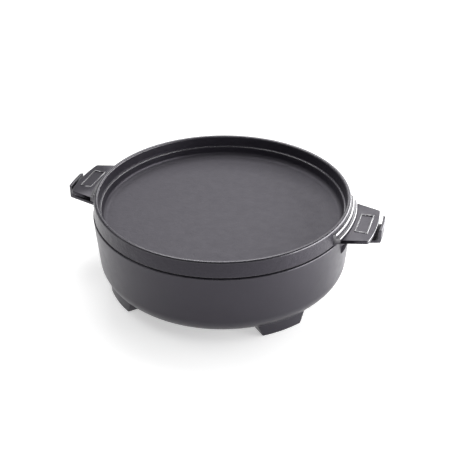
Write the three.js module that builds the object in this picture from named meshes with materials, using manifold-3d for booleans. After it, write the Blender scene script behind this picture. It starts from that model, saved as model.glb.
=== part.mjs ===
// Cast iron camp pot with a shallow pan laid on it as a lid, in millimetres, +Z up.
// The origin is on the ground under the middle of the pot, and +X runs along its two handles.
import * as THREE from 'three';
import { mergeVertices } from 'three/addons/utils/BufferGeometryUtils.js';
import Module from 'manifold-3d';

const wasm = await Module();
wasm.setup();

const degree = Math.PI / 180;

// Gap left between two pieces that touch or are cast as one.
const jointGap = 0.3;
// How far a cutting shape or a buried root runs past the surface that it has to reach.
const overrun = 3;

// Facets around a full turn, for the two bowls and for the narrow handle arcs.
const bowlFacets = 80;
const handleFacets = 180;
const cornerSteps = 4;
const wideCornerSteps = 7;

// Pot
const potRimRadius = 162.5;
const potHeight = 96.2;
const potClearance = 9.7;
const potWall = 5;
const potFloor = 5.5;
const potDraft = 4 * degree;
const potCornerRadius = 26;
const rimEdgeRadius = 0.9;

// Lid, measured up from the plane on which it rests
const lidHeight = 20.8;
const lidBandSetback = 1.1;
const lidBandLean = 1.4;
const lidBeadRadius = 2.5;
const lidBeadCrest = 0.3;
const lidRimWall = 5;
const lidWallLean = 1;
const stepDrop = 13.8;
const stepWidth = 2.6;
const stepRadius = 1.4;
const stepHollowRadius = 0.8;
const panDepth = 28;
const panWallLean = 1.2;
const panFilletRadius = 4;
const panFloor = 4.7;
const panWall = 4.7;
const panUnderRadius = 7;
const spigotClearance = 1.2;

// How far the lid is turned on the pot.
const lidTurn = -2.4 * degree;

// Lid handles
const lidHandleReach = 36;
const lidHandleEndHalfWidth = 37;
const lidHandleTaper = 16.1 * degree;
const lidHandleThickness = 4.7;
const lidHandleDrop = 13.4;
const lidHandleCornerRadius = 3;
const lidHandleEdgeRadius = 0.8;
const lidHandleArcSteps = 6;

// The two steps between the lid's band and its handle, the upper one first
const bossUpperReach = 2.6;
const bossUpperDrop = 5.6;
const bossLowerReach = 6.6;
const bossLowerDrop = 10.6;
const bossEdgeRadius = 2;
const bossSideReach = 0.6;

// Bare raised frame on each lid handle
const frameLength = 44;
const frameWidth = 17;
const frameBar = 1.4;
const frameRise = 1;
const frameFieldDepth = 0.4;
const frameEndSetback = 7.5;

// Pot handles: a tapered shelf whose outer end turns up as a tab
const shelfDrop = 6;
const shelfThickness = 3.7;
const shelfEndHalfWidth = 17.2;
const shelfTaper = 17.3 * degree;
const shelfFlareReach = 4;
const shelfFlareWidth = 3.5;
const shelfFlareRadius = 6;
const tabHeight = 17.1;
const tabThickness = 3.3;
const tabClearance = 3.7;
const tabInnerFillet = 4.5;
const tabOuterFillet = 1.8;
const tabEdgeRadius = 1;

// Ribs under the root of each pot handle
const ribThickness = 3.5;
const ribReach = 6;
const ribDrop = 12.5;

// Feet
const footSetback = 7;
const footDepth = 21;
const footHalfWidth = 26.4;
const footFlare = 21.5 * degree;
const footInnerDraft = 12 * degree;

// Solids and geometry

// A solid made from a geometry, with doubled corners and empty triangles taken out.
function solidFrom(geometry) {
  const bare = geometry.clone();
  bare.deleteAttribute('normal');
  bare.deleteAttribute('uv');
  const merged = mergeVertices(bare);
  const index = merged.index.array;
  const kept = [];
  for (let i = 0; i < index.length; i += 3) {
    const [a, b, c] = [index[i], index[i + 1], index[i + 2]];
    if (a !== b && b !== c && c !== a) {
      kept.push(a, b, c);
    }
  }
  return new wasm.Manifold(new wasm.Mesh({
    numProp: 3,
    vertProperties: Float32Array.from(merged.attributes.position.array),
    triVerts: Uint32Array.from(kept),
  }));
}

function geometryFrom(solid) {
  const mesh = solid.getMesh();
  const geometry = new THREE.BufferGeometry();
  geometry.setAttribute('position', new THREE.BufferAttribute(mesh.vertProperties, mesh.numProp));
  geometry.setIndex(new THREE.BufferAttribute(mesh.triVerts, 1));
  geometry.computeVertexNormals();
  return geometry;
}

// A corner of an outline, sharp unless it is given a radius.
function corner(x, y, radius = 0, steps = cornerSteps) {
  return { at: new THREE.Vector2(x, y), radius, steps };
}

// The points of an outline, with an arc in place of each corner that has a radius.
function roundedPoints(corners) {
  const points = [];
  corners.forEach(({ at, radius, steps }, i) => {
    if (radius === 0) {
      points.push(at);
      return;
    }
    const before = corners[(i + corners.length - 1) % corners.length].at;
    const after = corners[(i + 1) % corners.length].at;
    const toBefore = before.clone().sub(at).normalize();
    const toAfter = after.clone().sub(at).normalize();
    const halfAngle = Math.acos(toBefore.dot(toAfter)) / 2;
    const inward = toBefore.clone().add(toAfter).normalize();
    const centre = at.clone().addScaledVector(inward, radius / Math.sin(halfAngle));
    const start = at.clone().addScaledVector(toBefore, radius / Math.tan(halfAngle)).sub(centre);
    const end = at.clone().addScaledVector(toAfter, radius / Math.tan(halfAngle)).sub(centre);
    const sweep = Math.atan2(start.cross(end), start.dot(end));
    for (let step = 0; step <= steps; step += 1) {
      const turned = start.clone().rotateAround(new THREE.Vector2(), (sweep * step) / steps);
      points.push(turned.add(centre));
    }
  });
  return points;
}

// A solid of revolution about Z. Its outline is in radius and height, and starts and ends
// on the axis.
function revolved(corners, facets) {
  const geometry = new THREE.LatheGeometry(roundedPoints(corners), facets);
  geometry.rotateX(Math.PI / 2);
  return solidFrom(geometry);
}

// A ring about Z, whose outline in radius and height closes on itself.
function revolvedRing(corners, facets) {
  const points = roundedPoints(corners);
  const geometry = new THREE.LatheGeometry([...points, points[0]], facets);
  geometry.rotateX(Math.PI / 2);
  return solidFrom(geometry);
}

// A prism that stands on the outline at a given height.
function upright(corners, bottom, height) {
  const shape = new THREE.Shape(roundedPoints(corners));
  const geometry = new THREE.ExtrudeGeometry(shape, { depth: height, bevelEnabled: false });
  geometry.translate(0, 0, bottom);
  return solidFrom(geometry);
}

// A prism that runs along Y to both sides of a place, its outline in X and Z.
function alongY(corners, middle, width) {
  const shape = new THREE.Shape(roundedPoints(corners));
  const geometry = new THREE.ExtrudeGeometry(shape, { depth: width, bevelEnabled: false });
  geometry.rotateX(Math.PI / 2);
  geometry.translate(0, middle + width / 2, 0);
  return solidFrom(geometry);
}

// A prism that runs along X from a start, its outline in Y and Z.
function alongX(corners, start, length) {
  const shape = new THREE.Shape(roundedPoints(corners));
  const geometry = new THREE.ExtrudeGeometry(shape, { depth: length, bevelEnabled: false });
  const toX = new THREE.Matrix4().makeBasis(
    new THREE.Vector3(0, 1, 0),
    new THREE.Vector3(0, 0, 1),
    new THREE.Vector3(1, 0, 0),
  );
  geometry.applyMatrix4(toX);
  geometry.translate(start, 0, 0);
  return solidFrom(geometry);
}

// The four corners of an upright rectangle in plan.
function rectangle(nearX, farX, halfWidth) {
  return [
    corner(nearX, -halfWidth),
    corner(farX, -halfWidth),
    corner(farX, halfWidth),
    corner(nearX, halfWidth),
  ];
}

// Pot

const potUnderRadius = potRimRadius - (potHeight - potClearance) * Math.tan(potDraft);
const potMouthRadius = potRimRadius - potWall;
const potFloorTop = potClearance + potFloor;
const potInnerFloorRadius = potMouthRadius - (potHeight - potFloorTop) * Math.tan(potDraft);
const footRadius = potUnderRadius - footSetback;

// The lid's band and rim, and the arc of its handles, follow the rim that they rest on.
const bandRadius = potRimRadius - lidBandSetback;
const lidRimRadius = bandRadius - lidBandLean;
const lidHandleRadius = lidRimRadius + lidHandleReach;

// The pot's outside as a full shape up to its rim, grown all round by a gap.
function potOutside(grown) {
  return revolved([
    corner(0, potClearance - grown),
    corner(potUnderRadius + grown, potClearance - grown, potCornerRadius + grown, wideCornerSteps),
    corner(potRimRadius + grown, potHeight),
    corner(0, potHeight),
  ], bowlFacets);
}

function potBody() {
  return revolved([
    corner(0, potClearance),
    corner(potUnderRadius, potClearance, potCornerRadius, wideCornerSteps),
    corner(potRimRadius, potHeight, rimEdgeRadius),
    corner(potMouthRadius, potHeight, rimEdgeRadius),
    corner(potInnerFloorRadius, potFloorTop, potCornerRadius - potWall, wideCornerSteps),
    corner(0, potFloorTop),
  ], bowlFacets);
}

// A foot below the pot's rounded corner, on the +X side before it is turned into place.
function foot() {
  const rootHeight = potClearance + potCornerRadius / 2;
  const innerBottom = footRadius - footDepth;
  const innerTop = innerBottom - rootHeight * Math.tan(footInnerDraft);
  const rootHalfWidth = footHalfWidth + rootHeight * Math.tan(footFlare);
  const radialSlab = alongY([
    corner(innerBottom, 0),
    corner(footRadius + overrun, 0),
    corner(footRadius + overrun, rootHeight),
    corner(innerTop, rootHeight),
  ], 0, rootHalfWidth * 2 + overrun);
  const flaredSlab = alongX([
    corner(-footHalfWidth, 0),
    corner(footHalfWidth, 0),
    corner(rootHalfWidth, rootHeight),
    corner(-rootHalfWidth, rootHeight),
  ], innerTop - overrun, footRadius + overrun * 3 - innerTop);
  const outerFace = revolved([
    corner(0, 0),
    corner(footRadius, 0),
    corner(footRadius, rootHeight),
    corner(0, rootHeight),
  ], handleFacets);
  return radialSlab.intersect(flaredSlab).intersect(outerFace).subtract(potOutside(jointGap));
}

const shelfTop = potHeight - shelfDrop;
const shelfBottom = shelfTop - shelfThickness;
const tabInnerRadius = lidHandleRadius + tabClearance;
const tabOuterRadius = tabInnerRadius + tabThickness;
const rootRadius = potMouthRadius - overrun;

// One rib under a pot handle, hollowed along its sloping edge, at a place along Y.
function handleRib(middle) {
  const wallRadius = Math.sqrt(potRimRadius ** 2 - middle ** 2);
  const shape = new THREE.Shape();
  shape.moveTo(rootRadius - overrun, shelfBottom + shelfThickness / 2);
  shape.lineTo(rootRadius - overrun, shelfBottom - ribDrop);
  shape.lineTo(wallRadius, shelfBottom - ribDrop);
  shape.quadraticCurveTo(wallRadius, shelfBottom, wallRadius + ribReach, shelfBottom);
  shape.lineTo(wallRadius + ribReach, shelfBottom + shelfThickness / 2);
  const geometry = new THREE.ExtrudeGeometry(shape, {
    depth: ribThickness,
    bevelEnabled: false,
    curveSegments: cornerSteps,
  });
  geometry.rotateX(Math.PI / 2);
  geometry.translate(0, middle + ribThickness / 2, 0);
  return solidFrom(geometry);
}

// A pot handle on the +X side.
function potHandle() {
  const ring = revolvedRing([
    corner(rootRadius, shelfBottom),
    corner(tabOuterRadius, shelfBottom, tabOuterFillet),
    corner(tabOuterRadius, shelfBottom + tabHeight, tabEdgeRadius),
    corner(tabInnerRadius, shelfBottom + tabHeight, tabEdgeRadius),
    corner(tabInnerRadius, shelfTop, tabInnerFillet),
    corner(rootRadius, shelfTop),
  ], handleFacets);
  const endX = Math.sqrt(tabOuterRadius ** 2 - shelfEndHalfWidth ** 2);
  const farX = tabOuterRadius + overrun;
  const halfWidthAt = (x) => shelfEndHalfWidth + (endX - x) * Math.tan(shelfTaper);
  const flareX = potRimRadius + shelfFlareReach;
  const flareHalfWidth = halfWidthAt(flareX);
  const rootX = rootRadius - overrun * 2;
  const rootHalfWidth = flareHalfWidth + shelfFlareWidth * ((flareX - rootX) / shelfFlareReach);
  const plan = upright([
    corner(rootX, -rootHalfWidth),
    corner(flareX, -flareHalfWidth, shelfFlareRadius),
    corner(farX, -halfWidthAt(farX)),
    corner(farX, halfWidthAt(farX)),
    corner(flareX, flareHalfWidth, shelfFlareRadius),
    corner(rootX, rootHalfWidth),
  ], shelfBottom - overrun, tabHeight + overrun * 2);
  const ribMiddle = halfWidthAt(potRimRadius);
  return ring
    .intersect(plan)
    .add(handleRib(ribMiddle))
    .add(handleRib(-ribMiddle))
    .subtract(potOutside(jointGap));
}

// Lid

const spigotRadius = potMouthRadius - spigotClearance;
const panFloorTop = lidHeight - panDepth;
const panUnder = panFloorTop - panFloor;
const stepTop = lidHeight - stepDrop;
const lidInnerBeadRadius = lidRimWall - lidBeadRadius - lidBeadCrest;
const rimInnerRadius = lidRimRadius - lidRimWall;
const stepOuterRadius = rimInnerRadius - lidWallLean;
const stepInnerRadius = stepOuterRadius - stepWidth;
const panFloorRadius = spigotRadius - panWall - panWallLean;

// The outside of the lid's band as a full shape, grown outwards by a gap.
function lidOutside(grown) {
  return revolved([
    corner(0, -overrun),
    corner(bandRadius + grown, -overrun),
    corner(bandRadius + grown, 0),
    corner(lidRimRadius + grown, lidHeight),
    corner(0, lidHeight),
  ], bowlFacets);
}

function lidPan() {
  return revolved([
    corner(0, panUnder),
    corner(spigotRadius, panUnder, panUnderRadius, wideCornerSteps),
    corner(spigotRadius, 0),
    corner(bandRadius, 0, rimEdgeRadius),
    corner(lidRimRadius, lidHeight, lidBeadRadius, wideCornerSteps),
    corner(rimInnerRadius, lidHeight, lidInnerBeadRadius, wideCornerSteps),
    corner(stepOuterRadius, stepTop, stepHollowRadius),
    corner(stepInnerRadius, stepTop, stepRadius),
    corner(panFloorRadius, panFloorTop, panFilletRadius, wideCornerSteps),
    corner(0, panFloorTop),
  ], bowlFacets);
}

const lidHandleTop = lidHeight - lidHandleDrop;
const lidHandleBottom = lidHandleTop - lidHandleThickness;
const lidRootRadius = rimInnerRadius - overrun;

const lidHandleEndX = Math.sqrt(lidHandleRadius ** 2 - lidHandleEndHalfWidth ** 2);

// Half the width of a lid handle between its tapered sides, at a place along X.
function lidHandleHalfWidth(x) {
  return lidHandleEndHalfWidth + (lidHandleEndX - x) * Math.tan(lidHandleTaper);
}

// The tapered plate of a lid handle, with an outer edge that runs round the pot's axis.
function lidHandlePlate() {
  const endX = lidHandleEndX;
  const endAngle = Math.asin(lidHandleEndHalfWidth / lidHandleRadius);
  const rootHalfWidth = lidHandleHalfWidth(lidRootRadius);
  const corners = [
    corner(lidRootRadius, -rootHalfWidth),
    corner(endX, -lidHandleEndHalfWidth, lidHandleCornerRadius),
  ];
  for (let step = 1; step < lidHandleArcSteps; step += 1) {
    const angle = endAngle * ((2 * step) / lidHandleArcSteps - 1);
    corners.push(corner(lidHandleRadius * Math.cos(angle), lidHandleRadius * Math.sin(angle)));
  }
  corners.push(corner(endX, lidHandleEndHalfWidth, lidHandleCornerRadius));
  corners.push(corner(lidRootRadius, rootHalfWidth));
  const shape = new THREE.Shape(roundedPoints(corners));
  const geometry = new THREE.ExtrudeGeometry(shape, {
    depth: lidHandleThickness - lidHandleEdgeRadius * 2,
    bevelSize: lidHandleEdgeRadius,
    bevelOffset: -lidHandleEdgeRadius,
    bevelThickness: lidHandleEdgeRadius,
    bevelSegments: 2,
  });
  geometry.translate(0, 0, lidHandleBottom + lidHandleEdgeRadius);
  return solidFrom(geometry);
}

// One step of the boss, as the piece of a ring between the handle's tapered sides.
function bossStep(reach, bottom, drop) {
  const outerRadius = bandRadius + reach;
  const top = lidHeight - drop;
  const ring = revolvedRing([
    corner(lidRootRadius - overrun, bottom),
    corner(outerRadius, bottom),
    corner(outerRadius, top, bossEdgeRadius),
    corner(lidRootRadius - overrun, top),
  ], handleFacets);
  const nearX = lidRootRadius - overrun * 2;
  const farX = outerRadius + overrun;
  const sides = upright([
    corner(nearX, -lidHandleHalfWidth(nearX) - bossSideReach),
    corner(farX, -lidHandleHalfWidth(farX) - bossSideReach),
    corner(farX, lidHandleHalfWidth(farX) + bossSideReach),
    corner(nearX, lidHandleHalfWidth(nearX) + bossSideReach),
  ], bottom - overrun, top - bottom + overrun * 2);
  return ring.intersect(sides);
}

// A lid handle on the +X side.
function lidHandle() {
  const frameFarX = lidHandleRadius - frameEndSetback;
  const frameNearX = frameFarX - frameWidth;
  const frameHalf = frameLength / 2;
  const frameBottom = lidHandleTop - lidHandleThickness / 2;
  const block = upright(
    rectangle(frameNearX, frameFarX, frameHalf),
    frameBottom,
    lidHandleThickness / 2 + frameRise,
  );
  const field = upright(
    rectangle(frameNearX + frameBar, frameFarX - frameBar, frameHalf - frameBar),
    lidHandleTop - frameFieldDepth,
    frameFieldDepth + frameRise + overrun,
  );
  return lidHandlePlate()
    .add(bossStep(bossUpperReach, 0, bossUpperDrop))
    .add(bossStep(bossLowerReach, lidHandleBottom, bossLowerDrop))
    .add(block)
    .subtract(field)
    .subtract(lidOutside(jointGap));
}

// Materials

function seasonedIron(name, colour, roughness) {
  const material = new THREE.MeshStandardMaterial({ color: colour, roughness, metalness: 0.35 });
  material.name = name;
  return material;
}

// Assembly

const dutchOven = new THREE.Group();
dutchOven.name = 'dutch_oven';

const pot = new THREE.Group();
pot.name = 'pot';
dutchOven.add(pot);

const lid = new THREE.Group();
lid.name = 'lid';
lid.position.z = potHeight + jointGap;
lid.rotation.z = lidTurn;
dutchOven.add(lid);

function addPiece(parent, name, solid, material, turn) {
  const mesh = new THREE.Mesh(geometryFrom(solid), material);
  mesh.name = name;
  mesh.rotation.z = turn;
  parent.add(mesh);
}

addPiece(pot, 'pot_body', potBody(), seasonedIron('pot_iron', 0x45434a, 0.45), 0);
addPiece(lid, 'lid_pan', lidPan(), seasonedIron('lid_iron', 0x4b494f, 0.42), 0);

const sides = [
  { side: 'right', turn: 0 },
  { side: 'left', turn: Math.PI },
];
for (const { side, turn } of sides) {
  const potHandleIron = seasonedIron(`pot_handle_iron_${side}`, 0x45434a, 0.5);
  addPiece(pot, `pot_handle_${side}`, potHandle(), potHandleIron, turn);
  const lidHandleIron = seasonedIron(`lid_handle_iron_${side}`, 0x4b494f, 0.48);
  addPiece(lid, `lid_handle_${side}`, lidHandle(), lidHandleIron, turn);
}

const footNames = ['back_right', 'back_left', 'front_left', 'front_right'];
footNames.forEach((place, i) => {
  const quarter = Math.PI / 2;
  const footIron = seasonedIron(`foot_iron_${place}`, 0x403e44, 0.55);
  addPiece(pot, `foot_${place}`, foot(), footIron, quarter * (i + 1 / 2));
});

export default dutchOven;
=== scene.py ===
"""Cast iron camp pot with a shallow pan laid on it as its lid, dressed over its CAD frame."""

import math

import bmesh
import bpy
from bpy.props import FloatProperty, FloatVectorProperty, PointerProperty
from mathutils import Matrix, Vector


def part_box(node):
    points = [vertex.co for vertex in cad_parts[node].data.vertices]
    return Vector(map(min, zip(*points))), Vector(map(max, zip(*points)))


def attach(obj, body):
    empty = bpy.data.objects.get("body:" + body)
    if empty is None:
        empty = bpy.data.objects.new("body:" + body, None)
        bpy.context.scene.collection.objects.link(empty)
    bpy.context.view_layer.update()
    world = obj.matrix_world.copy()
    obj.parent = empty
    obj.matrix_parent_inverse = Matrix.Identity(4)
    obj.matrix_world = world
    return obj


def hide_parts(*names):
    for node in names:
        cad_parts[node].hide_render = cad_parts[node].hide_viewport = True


bl_info = {
    "name": "Cast Iron Camp Pot",
    "version": (1, 0, 0),
    "blender": (4, 5, 0),
    "location": "View3D > Sidebar > Camp Pot",
    "description": "Builds a cast iron camp pot and its pan lid over a measured frame",
    "category": "Object",
}

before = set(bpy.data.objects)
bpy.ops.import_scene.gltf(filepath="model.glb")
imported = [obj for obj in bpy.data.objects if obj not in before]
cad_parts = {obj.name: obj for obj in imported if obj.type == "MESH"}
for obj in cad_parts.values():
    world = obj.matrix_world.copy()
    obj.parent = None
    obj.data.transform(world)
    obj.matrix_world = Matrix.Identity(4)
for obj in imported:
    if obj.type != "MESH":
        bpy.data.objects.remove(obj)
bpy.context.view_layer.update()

AXIS = Vector((0, 0, 1))
CENTRE = Vector((0, 0, 0))

# Two points closer than this are one, and no inset is narrower than the second length.
WELD = 0.000002
LEAST_INSET = 0.000015
# How far a piece that is cast onto another reaches into it, and how deep a blend ends in it.
BURIED = 0.003
SKIN = 0.00015

# Depths of the rows of a foot's fillet below the pot, as shares of its radius.
FILLET_ROW_SHARES = (1, 0.72, 0.48, 0.28, 0.12, 0.03)
# Bend of a rib's sloping edge along the shelf and up the wall, and the radius of its edges.
RIB_BEND_SHARES = (0.6, 0.3)
RIB_EDGE_SHARE = 0.25
# How far a blend stays below and behind the step beside it, as shares of the step's rounding.
BLEND_DROP_SHARE = 0.5
BLEND_SETBACK_SHARE = 0.25

# Turns from which on an edge is rounded, on handles and ribs and on the lid's steps.
SHARP = math.radians(60)
STEP_SHARP = math.radians(50)

# How rubbed the top of a lid handle's frame and of its steps is; the share paints them lighter,
# partly as wear and partly as a painted highlight, and makes them glossier.
FRAME_RUB_AND_HIGHLIGHT_SHARE = 0.9
STEP_RUB_AND_HIGHLIGHT_SHARE = 0.8
# Darkest and lightest tone of the iron as shares of its colour, how much of the change comes
# from its clouds and how much from its grain, and how far its roughness varies.
TONE_SHARES = (0.82, 1.2)
CLOUD_SHARE = 0.7
GRAIN_SHARE = 0.3
SHEEN_RANGE = 0.04
# How much smoother iron is where it is fully rubbed.
RUBBED_SMOOTHER = 0.2
# Height over the lid's floor in which its cooking surface fades out: rougher, and painted lighter
# where overhead light falls on it.
FLOOR_FADE = 0.005

# White that the camera and reflections see in the floor beside its lit colour.
FLOOR_GLOW = 0.52
# Heights at which the white backdrop ends and the dim ceiling begins, as reflections see it.
BACKDROP_TOP = math.radians(6)
CEILING_EDGE = math.radians(28)
CEILING_GLOW = 0.1
# Soft lamps: degrees round the pot from the camera and above the floor, distance, width,
# height, brightness against white, and the height of the point that they face. Reflections
# don't show the fill lamp.
LAMPS = (
    ("side_low", 90, 0, 0.6, 1.0, 0.34, 7.5, 0.2),
    ("low_back_right", 140, 3, 1.3, 0.7, 0.18, 6.0, 0.117),
    ("back", 170, 32, 1.6, 0.8, 0.5, 3.8, 0.117),
    ("overhead_back", 178, 60, 1.5, 1.0, 0.8, 5.6, 0.117),
    ("overhead_left", 225, 60, 1.5, 1.0, 0.8, 1.8, 0.117),
    ("fill", 275, 60, 1.5, 1.0, 0.8, 2.6, 0.117),
)

# Facets round a full turn, along a handle's arc, in a small corner, in a bead of the lid, in a
# wide corner, in a foot's corner, in a rounded edge and in the edge of a lid handle's plate.
SPIN_STEPS = 288
ARC_STEPS = 36
CORNER_STEPS = 6
BEAD_STEPS = 8
WIDE_STEPS = 18
FOOT_CORNER_STEPS = 5
EDGE_STEPS = 3
PLATE_EDGE_STEPS = 4
# Cuts in the two longest lines of each side of a pot handle's section, the shorter one first.
SECTION_CUTS = (4, 10)
# Rounds in which a point on a tapered side, and one on a foot, settles into its place.
SIDE_ROUNDS = 4
FOOT_ROUNDS = 6


# Measures taken from the frame

def reach(node):
    """The greatest distance of a CAD node from the pot's axis."""
    return max(vert.co.xy.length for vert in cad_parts[node].data.vertices)


def heading(node):
    """The direction in plan in which a CAD node lies from the pot's axis."""
    total = sum((vert.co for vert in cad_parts[node].data.vertices), Vector())
    return math.atan2(total.y, total.x)


def top_of(node):
    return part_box(node)[1].z


def bottom_of(node):
    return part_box(node)[0].z


# Sizes and colours that a user would change

def size(name, description, default):
    """A length in metres that a user can change."""
    return FloatProperty(name=name, description=description, default=default, unit="LENGTH")


def slant(name, description, degrees):
    """An angle that a user can change, with its default in degrees."""
    return FloatProperty(
        name=name, description=description, default=math.radians(degrees), subtype="ANGLE")


def amount(name, description, default):
    return FloatProperty(
        name=name, description=description, default=default, min=0, max=1, subtype="FACTOR")


def tint(name, description, default):
    return FloatVectorProperty(
        name=name, description=description, default=default, subtype="COLOR", min=0, max=1)


class PotSizes(bpy.types.PropertyGroup):
    """Sizes of the pot's bowl"""

    wall: size("Wall", "Thickness of the pot's wall", default=0.005)
    floor: size("Floor", "Thickness of the pot's floor", default=0.0055)
    draft: slant("Draft", "Lean of the wall, outwards to the rim", degrees=4)
    corner: size(
        "Foot corner", "Outer radius where the wall turns into the floor", default=0.026)
    rim_round: size("Rim edge", "Radius of the two edges of the rim", default=0.0016)


class PotHandleSizes(bpy.types.PropertyGroup):
    """Sizes of the two pot handles and of the ribs under them"""

    shelf: size("Shelf", "Thickness of the handle's shelf", default=0.0037)
    shelf_drop: size("Shelf drop", "Depth of the shelf's top below the rim", default=0.006)
    end_half_width: size(
        "End half width", "Half the width of the handle at its outer end", default=0.0172)
    taper: slant("Taper", "Lean of the handle's sides in plan", degrees=17.3)
    tab: size("Tab", "Thickness of the tab at the handle's end", default=0.0033)
    inner_fillet: size("Inner fillet", "Radius between the shelf and the tab", default=0.0042)
    outer_fillet: size("Outer corner", "Radius under the tab", default=0.0014)
    root_fillet: size("Root fillet", "Radius where the shelf meets the wall", default=0.003)
    root_flare: size("Root flare", "How far each side spreads at the wall", default=0.004)
    flare_reach: size(
        "Flare reach", "How far from the wall the sides begin to spread", default=0.006)
    edge: size("Edge", "Radius of the handle's edges", default=0.0009)
    rib: size("Rib", "Thickness of a rib", default=0.0032)
    rib_reach: size("Rib reach", "Length of a rib along the shelf", default=0.006)
    rib_drop: size("Rib drop", "Length of a rib down the wall", default=0.0145)


class FootSizes(bpy.types.PropertyGroup):
    """Sizes of the four feet"""

    half_width: size("Half width", "Half the width of a foot at its sole", default=0.0264)
    depth: size("Depth", "Depth of a foot towards the pot's axis", default=0.021)
    flare: slant("Flare", "Lean of a foot's sides, wider upwards", degrees=21.5)
    inner_draft: slant("Inner draft", "Lean of a foot's inner face", degrees=12)
    corner: size("Corner", "Radius of a foot's upright edges", default=0.0018)
    edge: size("Edge", "Radius round the sole", default=0.0008)
    fillet: size("Fillet", "Radius where a foot runs into the pot", default=0.0016)


class LidSizes(bpy.types.PropertyGroup):
    """Sizes of the lid's pan"""

    band_lean: size("Band lean", "How far the band draws in up to the rim", default=0.0014)
    seat_round: size("Seat edge", "Radius of the band's lower edge", default=0.0016)
    bead: size("Bead", "Outer radius of the rim", default=0.0025)
    inner_bead: size("Inner bead", "Inner radius of the rim", default=0.0022)
    rim_wall: size("Rim wall", "Thickness of the rim", default=0.005)
    wall_lean: size("Wall lean", "How far the rim's inner face leans in", default=0.001)
    step_drop: size("Step drop", "Depth of the inner step below the rim", default=0.0138)
    step_width: size("Step width", "Width of the inner step", default=0.0026)
    step_round: size("Step edge", "Radius of the inner step's edge", default=0.0014)
    step_hollow: size("Step hollow", "Radius behind the inner step", default=0.0008)
    pan_depth: size("Pan depth", "Depth of the pan's floor below the rim", default=0.028)
    pan_lean: size("Pan lean", "How far the pan's wall leans in", default=0.0012)
    pan_fillet: size("Pan fillet", "Radius between the pan's wall and floor", default=0.0065)
    pan_wall: size("Pan wall", "Thickness of the pan's wall", default=0.0047)
    under_round: size("Underside corner", "Radius below the pan's wall", default=0.007)
    spigot_clearance: size(
        "Spigot clearance", "Play between the pan and the pot's mouth", default=0.0012)


class LidHandleSizes(bpy.types.PropertyGroup):
    """Sizes of the two lid handles"""

    drop: size("Drop", "Depth of the handle's top below the rim", default=0.0134)
    thickness: size("Thickness", "Thickness of the handle", default=0.0047)
    end_half_width: size(
        "End half width", "Half the width of the handle at its outer end", default=0.037)
    taper: slant("Taper", "Lean of the handle's sides in plan", degrees=16.1)
    corner: size("Corner", "Radius of the two outer corners", default=0.003)
    edge: size("Edge", "Radius of the handle's edges", default=0.0009)
    upper_reach: size(
        "Upper step reach", "How far the upper step stands off the band", default=0.0026)
    upper_drop: size("Upper step drop", "Depth of the upper step below the rim", default=0.0044)
    lower_reach: size(
        "Lower step reach", "How far the lower step stands off the band", default=0.0066)
    lower_drop: size("Lower step drop", "Depth of the lower step below the rim", default=0.0098)
    upper_round: size(
        "Upper step round", "Radius of the upper step's quarter round", default=0.0035)
    lower_round: size(
        "Lower step round", "Radius of the lower step's quarter round", default=0.0026)
    step_side: size(
        "Step side", "How far the steps reach past the handle's sides", default=0.0006)
    blend_along: size(
        "Blend along the band", "Length of the blend at the steps' ends", default=0.005)
    frame_length: size("Frame length", "Length of the bare raised frame", default=0.044)
    frame_width: size("Frame width", "Width of the bare raised frame", default=0.017)
    frame_bar: size("Frame bar", "Width of the frame's bars", default=0.0014)
    frame_rise: size("Frame rise", "Height of the frame's bars", default=0.001)
    frame_depth: size("Field depth", "Depth of the field inside the frame", default=0.0004)
    frame_setback: size(
        "Frame setback", "Distance of the frame from the handle's end", default=0.0075)
    frame_round: size("Frame edge", "Radius of the frame's edges", default=0.00055)


class IronFinish(bpy.types.PropertyGroup):
    """Colours and textures of the seasoned iron"""

    pot_colour: tint("Pot colour", "Seasoned iron of the pot", default=(0.017, 0.0158, 0.021))
    lid_colour: tint("Lid colour", "Seasoned iron of the lid", default=(0.017, 0.0158, 0.021))
    # Rubbed edges are painted this lighter colour, partly as wear and partly as a painted
    # highlight along the bright edges.
    worn_and_highlight_colour: tint(
        "Worn colour", "Iron where edges are rubbed", default=(0.075, 0.072, 0.082))
    wear_and_highlight: amount("Wear", "How much the edges are rubbed", default=0.35)
    gloss_tint: tint(
        "Gloss tint", "Cool tint of the seasoning's gloss", default=(0.92, 0.86, 1.0))
    # The lid's upward-facing cooking floor is painted this lighter colour as painted overhead
    # light.
    floor_colour: tint(
        "Cooking floor colour", "Drier iron of the lid's cooking floor",
        default=(0.062, 0.0595, 0.068))
    floor_roughness: amount(
        "Cooking floor", "Added roughness of the lid's cooking floor", default=0.3)
    polish: amount("Polish", "How glossy the rubbed edges are", default=0.7)
    grain: size("Grain", "Width of the casting's grain", default=0.0011)
    grain_depth: size("Grain depth", "Depth of the casting's grain", default=0.00006)


class StageLook(bpy.types.PropertyGroup):
    """Camera and studio floor"""

    azimuth: slant("Azimuth", "Camera direction round the pot from its front", degrees=16.8728)
    elevation: slant("Elevation", "Camera height over the lid's rim", degrees=29.5286)
    distance: size(
        "Distance", "Camera distance from the middle of the lid's rim", default=1.12516)
    pitch: slant("Pitch", "Turn of the camera below the middle of the rim", degrees=2.16633)
    yaw: slant(
        "Yaw", "Turn of the camera to the right of the middle of the rim", degrees=0.15176)
    roll: slant("Roll", "Roll of the camera", degrees=0.52551)
    lens: FloatProperty(
        name="Lens", description="Focal length in millimetres",
        default=72, min=1)
    floor_colour: tint("Floor colour", "Pale studio floor", default=(0.8, 0.8, 0.8))


# Outlines and meshes

def line_through(bm, corners, closed=False):
    """The edges through (across, up, radius) corners in the XZ plane, with the corners rounded."""
    before = set(bm.edges)
    verts = [bm.verts.new((across, 0, up)) for across, up, *_ in corners]
    ends = verts[1:] + verts[:1] if closed else verts[1:]
    for vert, after in zip(verts, ends):
        bm.edges.new((vert, after))
    for vert, (_, _, *rounding) in zip(verts, corners):
        if rounding:
            round_corner(bm, vert, *rounding)
    return [edge for edge in bm.edges if edge not in before]


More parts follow.
